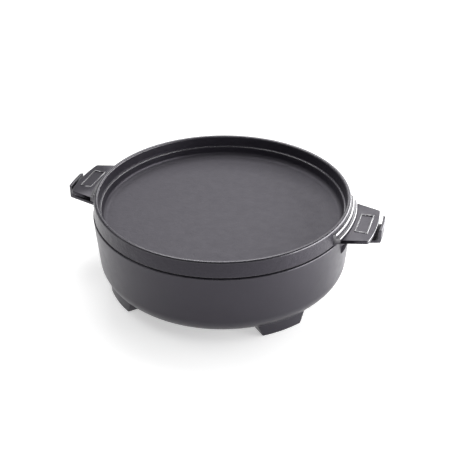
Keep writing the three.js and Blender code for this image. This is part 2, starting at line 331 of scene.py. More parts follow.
def round_corner(bm, vert, radius, steps=CORNER_STEPS):
    """Puts an arc in place of a corner between two edges."""
    before, after = (edge.other_vert(vert).co - vert.co for edge in vert.link_edges)
    bmesh.ops.bevel(
        bm, geom=[vert], offset=radius / math.tan(before.angle(after) / 2),
        offset_type="OFFSET", segments=steps, profile=0.5, affect="VERTICES", material=-1)


def turn_round(bm, angle):
    """Turns a shape round the pot's axis."""
    bmesh.ops.rotate(
        bm, cent=CENTRE, matrix=Matrix.Rotation(angle, 3, "Z"), verts=bm.verts)


def spin_round(bm, geom, angle, steps, merge=False):
    """Sweeps geometry round the pot's axis."""
    return bmesh.ops.spin(
        bm, geom=geom, cent=CENTRE, axis=AXIS, dvec=CENTRE, angle=angle, steps=steps,
        use_merge=merge, use_duplicate=False)


def bowl(corners):
    """A closed shape of revolution, whose outline starts and ends on the axis."""
    bm = bmesh.new()
    line_through(bm, corners)
    spin_round(bm, bm.verts[:] + bm.edges[:], math.tau, SPIN_STEPS, merge=True)
    return bm


def close_shape(bm):
    """Joins doubled points and turns every face outwards."""
    bmesh.ops.remove_doubles(bm, verts=bm.verts, dist=WELD)
    bmesh.ops.dissolve_degenerate(bm, edges=bm.edges, dist=WELD)
    bmesh.ops.recalc_face_normals(bm, faces=bm.faces)


def sharp_edges(bm, least):
    """The edges at which a shape turns sharply outwards."""
    return [
        edge for edge in bm.edges
        if len(edge.link_faces) == 2 and edge.calc_face_angle_signed() > least]


def soften(bm, edges, radius, steps=EDGE_STEPS):
    """Rounds edges to a radius."""
    bmesh.ops.bevel(
        bm, geom=edges, offset=radius, offset_type="OFFSET", segments=steps, profile=0.5,
        affect="EDGES", clamp_overlap=True, material=-1)


def bent_points(start, control, end, steps):
    """Points from start to end, bent towards a control point."""
    shares = [step / steps for step in range(steps + 1)]
    return [
        start * (1 - share) ** 2 + control * (2 * share * (1 - share)) + end * share ** 2
        for share in shares]


def fill(bm, edges):
    """The face inside a closed line of edges, as a list."""
    return bmesh.ops.contextual_create(bm, geom=edges)["faces"]


def circle_x(radius, y):
    """Where a circle round the pot's axis passes a line at a given Y, on the +X side."""
    return math.sqrt(radius ** 2 - y ** 2)


def grow(bm, faces, height):
    """Extrudes faces by a vector."""
    grown = bmesh.ops.extrude_face_region(bm, geom=faces)["geom"]
    moved = [part for part in grown if isinstance(part, bmesh.types.BMVert)]
    bmesh.ops.translate(bm, verts=moved, vec=height)


def block(bm, points, height):
    """A straight-sided block over a closed plan or section, grown by a vector."""
    verts = [bm.verts.new(point) for point in points]
    edges = [bm.edges.new(pair) for pair in zip(verts, verts[1:] + verts[:1])]
    grow(bm, fill(bm, edges), height)
    close_shape(bm)


def arc_plan(bm, outer, half_width, inner_x, inner_half_width, steps):
    """A plan with an outer arc, two sides and a straight inner edge, and its four corners."""
    half_angle = math.asin(half_width / outer)
    first = bm.verts.new(Matrix.Rotation(-half_angle, 3, "Z") @ Vector((outer, 0, 0)))
    last = spin_round(bm, [first], half_angle * 2, steps)["geom_last"][0]
    inner = [bm.verts.new((inner_x, side * inner_half_width, 0)) for side in (-1, 1)]
    for pair in ((first, inner[0]), (inner[0], inner[1]), (inner[1], last)):
        bm.edges.new(pair)
    return first, last, *inner


def sweep_tapered(bm, half_angle, half_width_at):
    """Sweeps a section round the pot's axis and draws its ends to two tapered sides."""
    turn_round(bm, -half_angle)
    spin_round(bm, bm.verts[:] + bm.edges[:] + bm.faces[:], half_angle * 2, ARC_STEPS)
    for vert in bm.verts:
        radius = vert.co.xy.length
        share = math.atan2(vert.co.y, vert.co.x) / half_angle
        x = radius
        for _ in range(SIDE_ROUNDS):
            y = share * half_width_at(x, radius)
            x = circle_x(radius, y)
        vert.co.x, vert.co.y = x, y
    close_shape(bm)


def add_object(name, data):
    made = bpy.data.objects.new(name, data)
    bpy.context.scene.collection.objects.link(made)
    return made


def add_piece(parts, name, body, material, nodes, turn=0.0):
    """Joins shapes into one object that rides on a CAD body and stands for CAD nodes."""
    whole = bmesh.new()
    for part in parts:
        close_shape(part)
        if "edge" not in part.verts.layers.float:
            mark_edges(part)
        shell = bpy.data.meshes.new(name)
        part.to_mesh(shell)
        part.free()
        whole.from_mesh(shell)
        bpy.data.meshes.remove(shell)
    if turn:
        turn_round(whole, turn)
    mesh = bpy.data.meshes.new(name)
    whole.to_mesh(mesh)
    whole.free()
    mesh.shade_smooth()
    piece = add_object(name, mesh)
    mesh.materials.append(material)
    weighted = piece.modifiers.new("Even normals", "WEIGHTED_NORMAL")
    weighted.keep_sharp = True
    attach(piece, body)
    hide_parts(*nodes)


def mark_edges(bm, sharpest=0.0018, softest=0.006, flat_side=0.003):
    """Stores at each point how sharply the surface bends outwards there, from 0 to 1."""
    layer = edge_layer(bm)
    bm.normal_update()
    low, high = 1 / softest, 1 / sharpest
    for vert in bm.verts:
        bend = 0.0
        for edge in vert.link_edges:
            if len(edge.link_faces) != 2:
                continue
            one, other = (face.calc_center_median() for face in edge.link_faces)
            along = (edge.verts[1].co - edge.verts[0].co).normalized()
            across = (one - other) - along * (one - other).dot(along)
            if across.length > WELD:
                bend = max(bend, edge.calc_face_angle_signed() / across.length)
        share = min(1.0, max(0.0, (bend - low) / (high - low)))
        if max(face.calc_area() for face in vert.link_faces) > flat_side ** 2:
            share = 0.0
        vert[layer] = max(vert[layer], share)


def mark_above(bm, height, share):
    """Stores one number at every point above a height."""
    layer = edge_layer(bm)
    for vert in bm.verts:
        if vert.co.z > height:
            vert[layer] = share


def edge_layer(bm):
    """The numbers by which a material knows the rubbed edges of a shape, which it paints lighter,
    partly as wear and partly as a painted highlight, and makes glossier.
    """
    layers = bm.verts.layers.float
    return layers.get("edge") or layers.new("edge")


# Materials

def start_group(name, numbers, outputs):
    """An empty shader node group with a vector, some numbers and its outputs."""
    group = bpy.data.node_groups.new(name, "ShaderNodeTree")
    group.interface.new_socket(name="Vector", in_out="INPUT", socket_type="NodeSocketVector")
    for label, default in numbers.items():
        socket = group.interface.new_socket(
            name=label, in_out="INPUT", socket_type="NodeSocketFloat")
        socket.default_value = default
    for label in outputs:
        group.interface.new_socket(name=label, in_out="OUTPUT", socket_type="NodeSocketFloat")
    return group, group.nodes.new("NodeGroupInput"), group.nodes.new("NodeGroupOutput")


def feed(tree, node, values):
    """Links each named input to another node's output, or gives it a plain value."""
    for label, value in values.items():
        if isinstance(value, bpy.types.NodeSocket):
            tree.links.new(value, node.inputs[label])
        else:
            node.inputs[label].default_value = value


def add_node(tree, kind, values, **settings):
    node = tree.nodes.new(kind)
    for name, setting in settings.items():
        setattr(node, name, setting)
    feed(tree, node, values)
    return node


def math_node(tree, operation, first, second):
    values = {0: first, 1: second}
    return add_node(tree, "ShaderNodeMath", values, operation=operation).outputs[0]


def times(tree, first, second):
    return math_node(tree, "MULTIPLY", first, second)


def plus(tree, first, second):
    return math_node(tree, "ADD", first, second)


def noise_node(tree, vector, scale, detail=2.0, roughness=0.5):
    values = {"Vector": vector, "Scale": scale, "Detail": detail, "Roughness": roughness}
    return add_node(tree, "ShaderNodeTexNoise", values).outputs["Fac"]


def cells_node(tree, vector, scale, feature="F1"):
    values = {"Vector": vector, "Scale": scale}
    return add_node(tree, "ShaderNodeTexVoronoi", values, feature=feature).outputs["Distance"]


def range_node(tree, value, low, high, to_low=0.0, to_high=1.0):
    values = {
        "Value": value, "From Min": low, "From Max": high, "To Min": to_low, "To Max": to_high}
    return add_node(tree, "ShaderNodeMapRange", values).outputs["Result"]


def mix_node(tree, first, second, factor):
    """Blends from one colour to another."""
    values = {"A": first, "B": second, "Factor": factor}
    return add_node(tree, "ShaderNodeMix", values, data_type="RGBA").outputs["Result"]


def height_node(tree, place):
    parts = add_node(tree, "ShaderNodeSeparateXYZ", {"Vector": place})
    return parts.outputs["Z"]


def casting_grain():
    """Grain of a sand casting: grit over a soft ripple, shallow pits and sparse blemishes."""
    group, given, made = start_group(
        "Casting grain", {"Scale": 900.0, "Blemishes": 0.0}, ["Height", "Shade"])
    vector, scale = given.outputs["Vector"], given.outputs["Scale"]
    ripple_scale_share, pit_scale_share, blemish_scale = 0.32, 0.45, 34.0
    grit_share, ripple_share, pit_share = 0.5, 0.9, 0.22
    grit = noise_node(group, vector, scale, detail=3.0, roughness=0.55)
    ripple = noise_node(group, vector, times(group, scale, ripple_scale_share))
    cells = cells_node(group, vector, times(group, scale, pit_scale_share), "SMOOTH_F1")
    pits = range_node(group, cells, low=0.0, high=0.28)
    body = plus(group, times(group, grit, grit_share), times(group, ripple, ripple_share))
    height = plus(group, body, times(group, pits, pit_share))
    sparse = cells_node(group, vector, blemish_scale)
    spots = range_node(group, sparse, low=0.0, high=0.045)
    height = plus(group, height, times(group, spots, given.outputs["Blemishes"]))
    shade = range_node(group, grit, low=0.3, high=0.7)
    feed(group, made, {"Height": height, "Shade": shade})
    return group


def seasoning():
    """Cloudy change of tone and sheen where oil has baked on unevenly."""
    group, given, made = start_group("Baked seasoning", {"Scale": 14.0}, ["Tone", "Sheen"])
    vector, scale = given.outputs["Vector"], given.outputs["Scale"]
    mottle_scale_share, cloud_share, mottle_share = 7.0, 0.65, 0.35
    cloud = noise_node(group, vector, scale, detail=4.0, roughness=0.55)
    mottle = noise_node(
        group, vector, times(group, scale, mottle_scale_share), detail=3.0, roughness=0.6)
    mixed = plus(group, times(group, cloud, cloud_share), times(group, mottle, mottle_share))
    tone = range_node(group, mixed, low=0.35, high=0.65)
    sheen = range_node(group, mottle, low=0.3, high=0.7)
    feed(group, made, {"Tone": tone, "Sheen": sheen})
    return group


def rubbed_edges_and_highlight():
    """A broken mask along the outward edges, where hands and lid rub the seasoning and where the
    iron is painted lighter as a highlight.
    """
    group, given, made = start_group("Rubbed edges and highlight", {"Edge": 0.0}, ["Mask"])
    patch_scale = 160.0
    broken = noise_node(
        group, given.outputs["Vector"], patch_scale, detail=4.0, roughness=0.65)
    patchy = range_node(group, broken, low=0.42, high=0.62)
    feed(group, made, {"Mask": times(group, given.outputs["Edge"], patchy)})
    return group


def place_group(tree, name, build, values):
    """Places a shared node group, which is built when it is first needed."""
    group = bpy.data.node_groups.get(name) or build()
    return add_node(tree, "ShaderNodeGroup", values, node_tree=group)


def toned(colour, share):
    return (*(part * share for part in colour), 1)


def iron(name, colour, roughness, grain_share=1.0, depth_share=1.0, seed=0.0, specular=0.5,
         polish_share=1.0, blemishes=0.0, floor_height=None):
    """Seasoned cast iron: dark, satin, with casting grain, cloudy tone and rubbed edges, which are
    painted lighter partly as wear and partly as a painted highlight.
    """
    finish = bpy.context.scene.camp_pot_finish
    material = bpy.data.materials.new(name)
    material.use_nodes = True
    tree = material.node_tree
    place = tree.nodes.new("ShaderNodeTexCoord").outputs["Object"]
    shift = add_node(
        tree, "ShaderNodeMapping", {"Vector": place, "Location": (seed, seed / 2, seed / 3)})
    vector = shift.outputs["Vector"]
    marks = add_node(tree, "ShaderNodeAttribute", {}, attribute_name="edge")
    edge = marks.outputs["Fac"]

    grit_scale = 1 / (finish.grain * grain_share)
    grain = place_group(
        tree, "Casting grain", casting_grain,
        {"Vector": vector, "Scale": grit_scale, "Blemishes": blemishes})
    clouds = place_group(tree, "Baked seasoning", seasoning, {"Vector": vector})
    # The mask of rubbed edges paints them lighter, partly as wear and partly as a painted
    # highlight, and makes them smoother.
    rubbed = place_group(tree, "Rubbed edges and highlight", rubbed_edges_and_highlight, {"Vector": vector, "Edge": edge})
    worn_and_highlight = times(tree, rubbed.outputs["Mask"], finish.wear_and_highlight)

    dark, light = (toned(colour, share) for share in TONE_SHARES)
    shade = plus(
        tree, times(tree, clouds.outputs["Tone"], CLOUD_SHARE),
        times(tree, grain.outputs["Shade"], GRAIN_SHARE))
    base = mix_node(tree, dark, light, shade)
    base = mix_node(tree, base, toned(finish.worn_and_highlight_colour, 1), worn_and_highlight)
    satin = range_node(
        tree, clouds.outputs["Sheen"], 0.0, 1.0, roughness - SHEEN_RANGE,
        roughness + SHEEN_RANGE)
    rough = math_node(tree, "SUBTRACT", satin, times(tree, worn_and_highlight, RUBBED_SMOOTHER))
    if floor_height is not None:
        # The lid's cooking floor is rougher, and its lighter colour is painted overhead light that
        # falls on it.
        height = height_node(tree, place)
        rough_and_lit_floor = range_node(tree, height, floor_height, floor_height + FLOOR_FADE, 1.0, 0.0)
        rough = plus(tree, rough, times(tree, rough_and_lit_floor, finish.floor_roughness))
        base = mix_node(tree, base, toned(finish.floor_colour, 1), rough_and_lit_floor)

    bump = add_node(tree, "ShaderNodeBump", {
        "Height": grain.outputs["Height"], "Distance": finish.grain_depth * depth_share,
        "Strength": 1.0})
    feed(tree, tree.nodes["Principled BSDF"], {
        "Base Color": base,
        "Roughness": rough,
        "Normal": bump.outputs["Normal"],
        "Specular IOR Level": specular,
        "Specular Tint": toned(finish.gloss_tint, 1),
        "Coat Weight": times(tree, edge, finish.polish * polish_share),
        "Coat Roughness": 0.22,
        "Coat IOR": 3.0,
    })
    return material


def pot_body_iron(finish):
    return iron(
        "pot_body_iron", finish.pot_colour, roughness=0.34, depth_share=0.5, specular=0.58,
        polish_share=0.1)


def pot_handle_iron(finish):
    return iron(
        "pot_handle_iron", finish.pot_colour, roughness=0.36, seed=3.1, polish_share=0.15)


def foot_iron(finish):
    return iron("foot_iron", finish.pot_colour, roughness=0.36, seed=5.7, polish_share=0.2)


def lid_pan_iron(finish, floor_height):
    """The coarser iron of the lid's pan, rougher on its cooking floor, which is painted lighter as
    painted overhead light.
    """
    return iron(
        "lid_pan_iron", finish.lid_colour, roughness=0.32, seed=1.3, grain_share=1.5,
        depth_share=7.0, blemishes=0.8, polish_share=0.36, floor_height=floor_height)


def lid_handle_iron(finish):
    return iron("lid_handle_iron", finish.lid_colour, roughness=0.38, seed=7.9)


# Shape of the pot

def rim_corner(radius, rounding, draft):
    """Where the wall's line meets the rim, given how far the rounded rim reaches."""
    return radius - rounding + rounding / math.tan((math.pi / 2 - draft) / 2)


class PotShape:
    """Places on the pot that its handles and feet follow."""

    def __init__(self, sizes):
        self.top = top_of("pot_body")
        self.base = bottom_of("pot_body")
        self.slope = math.tan(sizes.draft)
        self.rim = rim_corner(reach("pot_body"), sizes.rim_round, sizes.draft)
        self.corner = sizes.corner
        self.under = self.wall_at(self.base)
        setback = sizes.corner / math.tan((math.pi / 2 + sizes.draft) / 2)
        self.corner_centre = self.under - setback

    def wall_at(self, height):
        """Radius of the wall's straight face at a height."""
        return self.rim - (self.top - height) * self.slope

    def height_at(self, radius):
        """Height of the pot's underside and rounded corner at a radius."""
        out = max(0.0, radius - self.corner_centre)
        drop = math.sqrt(max(0.0, self.corner ** 2 - out ** 2))
        return self.base + self.corner - drop


def pot_body_shape(sizes):
    shape = PotShape(sizes)
    mouth = shape.rim - sizes.wall
    floor_top = shape.base + sizes.floor
    inner_floor = mouth - (shape.top - floor_top) * shape.slope
    return bowl([
        (0, shape.base),
        (shape.under, shape.base, sizes.corner, WIDE_STEPS),
        (shape.rim, shape.top, sizes.rim_round),
        (mouth, shape.top, sizes.rim_round),
        (inner_floor, floor_top, sizes.corner - sizes.wall, WIDE_STEPS),
        (0, floor_top),
    ])


def pot_handle_section(shape, sizes):
    """The section of the shelf and upturned tab of a pot handle on the +X side."""
    node = "pot_handle_right"
    outer = reach(node)
    inner = outer - sizes.tab
    tab_top = top_of(node)
    shelf_top = shape.top - sizes.shelf_drop
    shelf_bottom = shelf_top - sizes.shelf
    spread = sizes.root_fillet + SKIN
    low, high = shelf_bottom - spread, shelf_top + spread
    bm = bmesh.new()
    under = line_through(bm, [
        (shape.wall_at(low) - SKIN, low),
        (shape.wall_at(shelf_bottom) - SKIN, shelf_bottom, sizes.root_fillet),
        (outer, shelf_bottom, sizes.outer_fillet),
        (outer, tab_top),
    ])
    over = line_through(bm, [
        (shape.wall_at(high) - SKIN, high),
        (shape.wall_at(shelf_top) - SKIN, shelf_top, sizes.root_fillet),
        (inner, shelf_top, sizes.inner_fillet),
        (inner, tab_top),
    ])
    for edges in (under, over):
        longest = sorted(edges, key=lambda edge: edge.calc_length())[-2:]
        for edge, cuts in zip(longest, SECTION_CUTS):
            bmesh.ops.subdivide_edges(bm, edges=[edge], cuts=cuts)
    bmesh.ops.bridge_loops(bm, edges=bm.edges)
    return bm


def handle_half_width(x, outer, sizes):
    """Half the width between a handle's tapered sides at a place along X."""
    end_x = circle_x(outer, sizes.end_half_width)
    return sizes.end_half_width + (end_x - x) * math.tan(sizes.taper)


def pot_handle_shape(pot, sizes):
    """A pot handle on the +X side, tapered outwards and flared at its root."""
    shape = PotShape(pot)
    outer = reach("pot_handle_right")
    flare_from = shape.rim + sizes.flare_reach

    def half_width_at(x, radius):
        near = max(0.0, flare_from - radius) / sizes.flare_reach
        return handle_half_width(x, outer, sizes) + sizes.root_flare * near ** 2

    bm = pot_handle_section(shape, sizes)
    sweep_tapered(bm, sizes.end_half_width / outer, half_width_at)
    soften(bm, sharp_edges(bm, SHARP), sizes.edge)
    return bm


def rib_shape(pot, sizes, side):
    """A rib under one side of a pot handle, hollowed along its sloping edge."""
    shape = PotShape(pot)
    shelf_bottom = shape.top - sizes.shelf_drop - sizes.shelf
    low = shelf_bottom - sizes.rib_drop
    middle = handle_half_width(shape.rim, reach("pot_handle_right"), sizes)
    wall = circle_x(shape.wall_at(low), middle)
    end = wall + sizes.rib_reach
    top = shelf_bottom + SKIN
    along_share, up_share = RIB_BEND_SHARES
    bend = Vector((wall + sizes.rib_reach * along_share, 0, low + sizes.rib_drop * up_share))
    points = bent_points(
        Vector((wall - SKIN, 0, low)), bend, Vector((end, 0, top)), WIDE_STEPS)
    root = wall - BURIED
    points += [Vector((root, 0, top)), Vector((root, 0, low))]
    bm = bmesh.new()
    block(bm, points, Vector((0, sizes.rib, 0)))
    lower = [
        edge for edge in sharp_edges(bm, SHARP)
        if min(vert.co.x for vert in edge.verts) > wall - BURIED / 2
        and max(vert.co.z for vert in edge.verts) < shelf_bottom]
    soften(bm, lower, sizes.rib * RIB_EDGE_SHARE)
    bmesh.ops.translate(bm, verts=bm.verts, vec=Vector((0, side * middle - sizes.rib / 2, 0)))
    return bm


def fillet_offset(gap, radius):
    """How far a fillet stands out where it is still a gap away from the wall it joins."""
    near = min(max(radius - gap, 0.0), radius)
    return radius - math.sqrt(radius ** 2 - near ** 2)


def foot_shape(pot, sizes):
    """A foot on the +X side, flared up into the pot's rounded corner."""
    shape = PotShape(pot)
    outer = reach("foot_front_right")
    bm = bmesh.new()
    corners = arc_plan(
        bm, outer, sizes.half_width, outer - sizes.depth, sizes.half_width, ARC_STEPS // 2)
    for vert in corners:
        round_corner(bm, vert, sizes.corner, FOOT_CORNER_STEPS)
    # The last two rows lie inside the pot.
    gaps = [sizes.fillet * share for share in FILLET_ROW_SHARES] + [-SKIN, -BURIED]
    face = fill(bm, bm.edges)[0]
    if face.normal.z > 0:
        bmesh.ops.reverse_faces(bm, faces=[face])
    rows = [list(face.verts)]
    plan = [vert.co.copy() for vert in rows[0]]
    top = face
    for _ in gaps:
        grown = bmesh.ops.extrude_face_region(bm, geom=[top])["geom"]
        top = next(part for part in grown if isinstance(part, bmesh.types.BMFace))
        rows.append(list(top.verts))
    middle = outer - sizes.depth / 2
    count = len(plan)
    for row, gap in zip(rows[1:], gaps):
        for vert in row:
            place = min(range(count), key=lambda near: (plan[near] - vert.co).length)
            point = plan[place]
            along = (plan[(place + 1) % count] - plan[place - 1]).normalized()
            out = Vector((along.y, -along.x, 0))
            if out.dot(point - Vector((middle, 0, 0))) < 0:
                out.negate()
            vert.co = foot_point(shape, sizes, point, out, gap, middle)
    close_shape(bm)
    sole = [edge for edge in bm.edges if max(vert.co.z for vert in edge.verts) < WELD]
    soften(bm, sole, sizes.edge)
    return bm


def foot_point(shape, sizes, point, out, gap, middle):
    """Where a point of the foot's outline comes to lie, a gap below the pot's surface."""
    stand = fillet_offset(gap, sizes.fillet)
    height = shape.height_at(point.xy.length) - gap
    for _ in range(FOOT_ROUNDS):
        y = point.y * (1 + height * math.tan(sizes.flare) / sizes.half_width)
        if point.x > middle:
            x = math.sqrt(point.xy.length_squared - y ** 2)
        else:
            x = point.x - height * math.tan(sizes.inner_draft)
        radius = math.hypot(x + out.x * stand, y + out.y * stand)
        height = shape.height_at(radius) - gap
    return Vector((x + out.x * stand, y + out.y * stand, height))


# Shape of the lid

class LidShape:
    """Places on the lid that its handles follow."""

    def __init__(self, sizes, handle):
        self.top = top_of("lid_pan")
        self.seat = bottom_of("lid_handle_right")
        self.band = reach("lid_pan")
        self.rim = self.band - sizes.band_lean
        self.rim_inner = self.rim - sizes.rim_wall
        self.handle_top = self.top - handle.drop
        self.handle_bottom = self.handle_top - handle.thickness
        self.handle_reach = reach("lid_handle_right")


def lid_pan_shape(pot, sizes, handle):
    shape = LidShape(sizes, handle)
    spigot = PotShape(pot).rim - pot.wall - sizes.spigot_clearance
    step_top = shape.top - sizes.step_drop
    step_outer = shape.rim_inner - sizes.wall_lean
    floor_top = shape.top - sizes.pan_depth
    floor_radius = spigot - sizes.pan_wall - sizes.pan_lean
    return bowl([
        (0, bottom_of("lid_pan")),
        (spigot, bottom_of("lid_pan"), sizes.under_round, WIDE_STEPS),
        (spigot, shape.seat),
        (shape.band, shape.seat, sizes.seat_round),
        (shape.rim, shape.top, sizes.bead, BEAD_STEPS),
        (shape.rim_inner, shape.top, sizes.inner_bead, BEAD_STEPS),
        (step_outer, step_top, sizes.step_hollow),
        (step_outer - sizes.step_width, step_top, sizes.step_round, BEAD_STEPS),
        (floor_radius, floor_top, sizes.pan_fillet, WIDE_STEPS),
        (0, floor_top),
    ])


def quarter_steps(radius, steps, hollow):
    """Small (inwards, upwards) moves that follow a quarter round."""
    moves = []
    for step in range(steps):
        start, end = (math.pi / 2 * (step + more) / steps for more in (0, 1))
        first = radius * (math.sin(end) - math.sin(start))
        second = radius * (math.cos(start) - math.cos(end))
        moves.append((first, second) if hollow else (second, first))
    return moves


def raise_frame(bm, field, handle):
    """Raises the bars of the bare frame round a face and sinks the field inside it."""
    rounding = handle.frame_round
    rise = handle.frame_rise
    fall = rise + handle.frame_depth
    hollow = quarter_steps(rounding, EDGE_STEPS, hollow=True)
    round_up = quarter_steps(rounding, EDGE_STEPS, hollow=False)
    moves = [
        *hollow,
        (0, rise - rounding * 2),
        *round_up,
        (handle.frame_bar - rounding * 2, 0),
        *((across, -up) for across, up in hollow),
        (0, rounding * 2 - fall),
        *((across, -up) for across, up in round_up),
    ]
    for across, up in moves:
        bmesh.ops.inset_region(
            bm, faces=[field], thickness=max(across, LEAST_INSET), depth=up,
            use_even_offset=True, use_boundary=True)


def frame_field(bm, outer, height, handle):
    """Cuts the bare frame's outline into a plate's top, and gives the face inside it."""
    top = max(bm.faces, key=lambda part: part.calc_center_median().z)
    rim = list(top.edges)
    bmesh.ops.delete(bm, geom=[top], context="FACES_ONLY")
    far_x = outer - handle.frame_setback
    near_x = far_x - handle.frame_width
    half = handle.frame_length / 2
    places = ((near_x, -half), (far_x, -half), (far_x, half), (near_x, half))
    square = [bm.verts.new((x, y, height)) for x, y in places]
    sides = [bm.edges.new(pair) for pair in zip(square, square[1:] + square[:1])]
    bmesh.ops.triangle_fill(bm, edges=rim + sides, use_beauty=True, normal=AXIS)
    field = fill(bm, sides)[0]
    bmesh.ops.recalc_face_normals(bm, faces=bm.faces)
    return field


def lid_plate_shape(shape, lid, handle):
    """The tapered plate of a lid handle on the +X side, with its bare frame."""
    outer = shape.handle_reach
    root = shape.rim_inner + lid.rim_wall / 2
    root_half = handle_half_width(root, outer, handle)
    bm = bmesh.new()
    first, last, *_ = arc_plan(bm, outer, handle.end_half_width, root, root_half, ARC_STEPS)
    for vert in (first, last):
        round_corner(bm, vert, handle.corner)
    plate = fill(bm, bm.edges)
    bmesh.ops.translate(bm, verts=bm.verts, vec=Vector((0, 0, shape.handle_bottom)))
    grow(bm, plate, Vector((0, 0, handle.thickness)))
    bmesh.ops.recalc_face_normals(bm, faces=bm.faces)
    around = [
        edge for edge in bm.edges
        if abs(edge.verts[0].co.z - edge.verts[1].co.z) < WELD
        and max(vert.co.x for vert in edge.verts) > root + WELD]
    soften(bm, around, handle.edge, PLATE_EDGE_STEPS)
    raise_frame(bm, frame_field(bm, outer, shape.handle_top, handle), handle)
    mark_edges(bm)
    # The frame's top counts as a rubbed edge: painted lighter, partly as wear and partly as a
    # painted highlight, and made glossier.
    mark_above(bm, shape.handle_top + SKIN, FRAME_RUB_AND_HIGHLIGHT_SHARE)
    return bm


def around_axis(radius, angle, height):
    """A point at a radius and angle round the pot's axis."""
    return Vector((radius * math.cos(angle), radius * math.sin(angle), height))


def step_half_width(x, shape, handle):
    """Half the width of a lid handle's steps at a place along X."""
    return handle_half_width(x, shape.handle_reach, handle) + handle.step_side


def boss_step_shape(shape, handle, step_reach, bottom, drop, rounding):
    """One rounded step between the band and the lid handle, between its tapered sides."""
    outer = shape.band + step_reach
    top = shape.top - drop
    inner = shape.rim - BURIED
    bm = bmesh.new()
    line_through(bm, [
        (inner, bottom),
        (outer, bottom),
        (outer, top, rounding, WIDE_STEPS // 2),
        (inner, top),
    ], closed=True)
    fill(bm, bm.edges)
    sweep_tapered(
        bm, handle.end_half_width / outer, lambda x, _: step_half_width(x, shape, handle))
    ends = [
        edge for edge in sharp_edges(bm, STEP_SHARP)
        if abs(abs(edge.verts[0].co.y) - abs(edge.verts[1].co.y)) < rounding]
    soften(bm, ends, handle.edge)
    # The step's top counts as a rubbed edge: painted lighter, partly as wear and partly as a
    # painted highlight, and made glossier.
    mark_above(bm, top - rounding, STEP_RUB_AND_HIGHLIGHT_SHARE)
    return bm


def boss_blend_shape(shape, handle, step_reach, bottom, drop, rounding, side):
    """The hollow blend between the end of a step and the lid's band."""
    top = shape.top - drop - rounding * BLEND_DROP_SHARE
    outer = shape.band + step_reach - rounding * BLEND_SETBACK_SHARE
    half = step_half_width(shape.band, shape, handle)
    base_x = circle_x(shape.band, half)
    angle = math.atan2(half, base_x)
    along = handle.blend_along
    far_angle = angle + along / shape.band
    end_half = step_half_width(circle_x(outer, half), shape, handle)
    end_x = circle_x(outer, end_half)
    buried = shape.rim - SKIN
    inner_angle = angle - along / shape.band
    inside = shape.rim - BURIED / 2
    points = bent_points(
        Vector((end_x, side * (end_half - SKIN), bottom)),
        Vector((base_x, side * half, bottom)),
        around_axis(buried, side * far_angle, bottom), WIDE_STEPS // 2)
    points.append(around_axis(inside, side * far_angle, bottom))
    points.append(around_axis(inside, side * inner_angle, bottom))
    points.append(Vector((end_x - SKIN, side * (end_half - along), bottom)))
    bm = bmesh.new()
    block(bm, points, Vector((0, 0, top - bottom)))
    upper = [
        edge for edge in sharp_edges(bm, STEP_SHARP)
        if min(vert.co.z for vert in edge.verts) > top - WELD]
    soften(bm, upper, handle.edge)
    edge_layer(bm)
    return bm


def lid_handle_shapes(lid, handle):
    shape = LidShape(lid, handle)
    steps = (
        (handle.upper_reach, shape.seat, handle.upper_drop, handle.upper_round),
        (handle.lower_reach, shape.handle_bottom, handle.lower_drop, handle.lower_round))
    parts = [lid_plate_shape(shape, lid, handle)]
    for step in steps:
        parts.append(boss_step_shape(shape, handle, *step))
        for side in (-1, 1):
            parts.append(boss_blend_shape(shape, handle, *step, side))
    return parts


# Operators

class CAMPPOT_OT_pot_body(bpy.types.Operator):
    """Make the pot's bowl"""

    bl_idname = "camp_pot.pot_body"
    bl_label = "Pot body"

    def execute(self, context):
        scene = context.scene
        metal = pot_body_iron(scene.camp_pot_finish)
        shape = pot_body_shape(scene.camp_pot)
        add_piece([shape], "pot_bowl", "pot", metal, ["pot_body"])
        return {"FINISHED"}


class CAMPPOT_OT_pot_handles(bpy.types.Operator):
    """Make the two pot handles with their ribs"""

    bl_idname = "camp_pot.pot_handles"
    bl_label = "Pot handles"

    def execute(self, context):
        scene = context.scene
        sizes = scene.camp_pot_handle
        metal = pot_handle_iron(scene.camp_pot_finish)
        for side in ("right", "left"):
            node = f"pot_handle_{side}"
            parts = [pot_handle_shape(scene.camp_pot, sizes)]
            parts += [rib_shape(scene.camp_pot, sizes, way) for way in (-1, 1)]
            turn = math.pi if abs(heading(node)) > math.pi / 2 else 0
            add_piece(parts, f"pot_grip_{side}", "pot", metal, [node], turn)
        return {"FINISHED"}


class CAMPPOT_OT_feet(bpy.types.Operator):
    """Make the four feet"""

    bl_idname = "camp_pot.feet"
    bl_label = "Feet"

    def execute(self, context):
        scene = context.scene
        metal = foot_iron(scene.camp_pot_finish)
        quarter = math.pi / 2
        for place in ("front_right", "front_left", "back_right", "back_left"):
            node = f"foot_{place}"
            turn = (math.floor(heading(node) / quarter) + 1 / 2) * quarter
            shape = foot_shape(scene.camp_pot, scene.camp_pot_foot)
            add_piece([shape], f"foot_block_{place}", "pot", metal, [node], turn)
        return {"FINISHED"}


class CAMPPOT_OT_lid_pan(bpy.types.Operator):
    """Make the lid's shallow pan"""

    bl_idname = "camp_pot.lid_pan"
    bl_label = "Lid pan"

    def execute(self, context):
        scene = context.scene
        floor_height = top_of("lid_pan") - scene.camp_pot_lid.pan_depth
        metal = lid_pan_iron(scene.camp_pot_finish, floor_height)
        shape = lid_pan_shape(scene.camp_pot, scene.camp_pot_lid, scene.camp_pot_lid_handle)
        add_piece([shape], "lid_dish", "lid", metal, ["lid_pan"])
        return {"FINISHED"}


